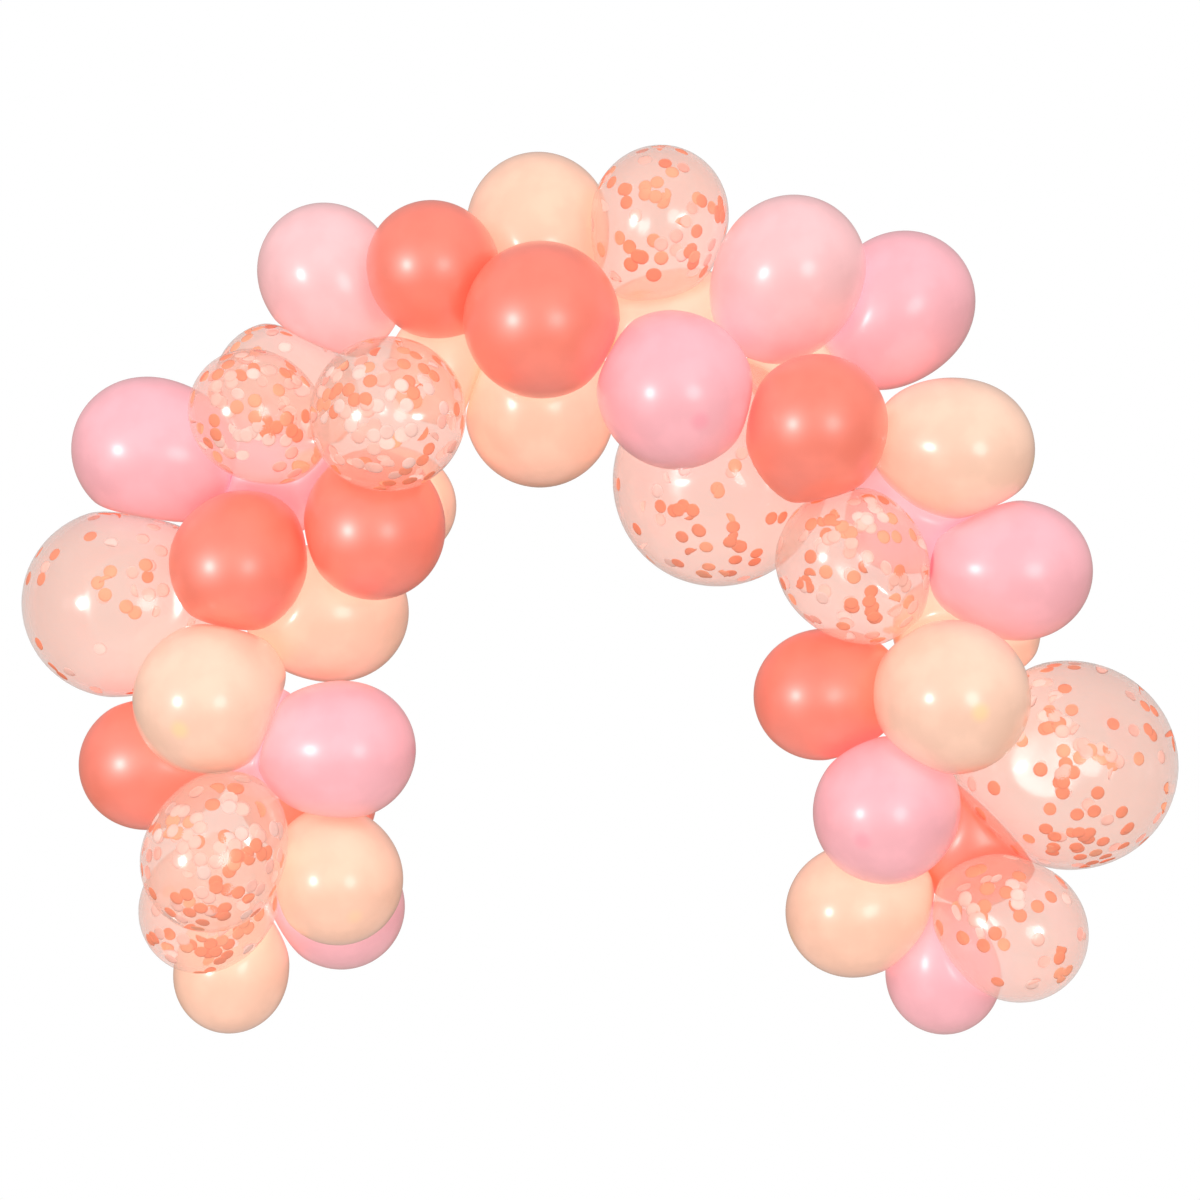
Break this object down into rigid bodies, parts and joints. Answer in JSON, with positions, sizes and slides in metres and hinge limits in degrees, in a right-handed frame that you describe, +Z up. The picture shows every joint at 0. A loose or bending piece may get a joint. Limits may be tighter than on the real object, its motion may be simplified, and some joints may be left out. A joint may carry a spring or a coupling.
{
  "type": "balloon garland",
  "caption": "Arched garland of tied latex balloons in peach, cream, coral and pink with clear confetti balloons, made to hang flat against a wall.",
  "frame": {"origin": "middle of the flat where the top balloon of the arch is pressed on the wall", "axes": "+X to the right along the wall, +Z up, +Y back into the wall; the balloons are in front of the wall, towards -Y"},
  "size_m": [2.113, 0.5296, 1.6259],
  "materials": {
    "peach_latex": "plain glossy latex, peach",
    "cream_latex": "plain glossy latex, cream",
    "coral_latex": "pearl latex, coral",
    "pink_latex": "pearl latex, pink",
    "pale_pink_latex": "pearl latex, pale pink",
    "clear_latex": "clear glossy latex",
    "confetti_tissue": "matt tissue paper discs, orange, peach, pale pink and white"
  },
  "bodies": {
    "root": {"peach_balloon_01": "peach_latex", "peach_balloon_02": "peach_latex", "peach_balloon_03": "peach_latex", "peach_balloon_04": "peach_latex", "peach_balloon_05": "peach_latex", "peach_balloon_06": "peach_latex", "peach_balloon_07": "peach_latex", "peach_balloon_08": "peach_latex", "peach_balloon_09": "peach_latex", "peach_balloon_10": "peach_latex", "peach_balloon_11": "peach_latex", "cream_balloon_01": "cream_latex", "cream_balloon_02": "cream_latex", "cream_balloon_03": "cream_latex", "coral_balloon_01": "coral_latex", "coral_balloon_02": "coral_latex", "coral_balloon_03": "coral_latex", "coral_balloon_04": "coral_latex", "coral_balloon_05": "coral_latex", "coral_balloon_06": "coral_latex", "coral_balloon_07": "coral_latex", "coral_balloon_08": "coral_latex", "coral_balloon_09": "coral_latex", "pink_balloon_01": "pink_latex", "pink_balloon_02": "pink_latex", "pink_balloon_03": "pink_latex", "pink_balloon_04": "pink_latex", "pink_balloon_05": "pink_latex", "pink_balloon_06": "pink_latex", "pink_balloon_07": "pink_latex", "pink_balloon_08": "pink_latex", "pink_balloon_09": "pink_latex", "pink_balloon_10": "pink_latex", "pink_balloon_11": "pink_latex", "pale_pink_balloon_01": "pale_pink_latex", "pale_pink_balloon_02": "pale_pink_latex", "clear_balloon_01": "clear_latex", "clear_balloon_02": "clear_latex", "clear_balloon_03": "clear_latex", "clear_balloon_04": "clear_latex", "clear_balloon_05": "clear_latex", "clear_balloon_06": "clear_latex", "clear_balloon_07": "clear_latex", "clear_balloon_08": "clear_latex", "large_clear_balloon_01": "clear_latex", "large_clear_balloon_02": "clear_latex", "large_clear_balloon_03": "clear_latex"}
  },
  "joints": []
}
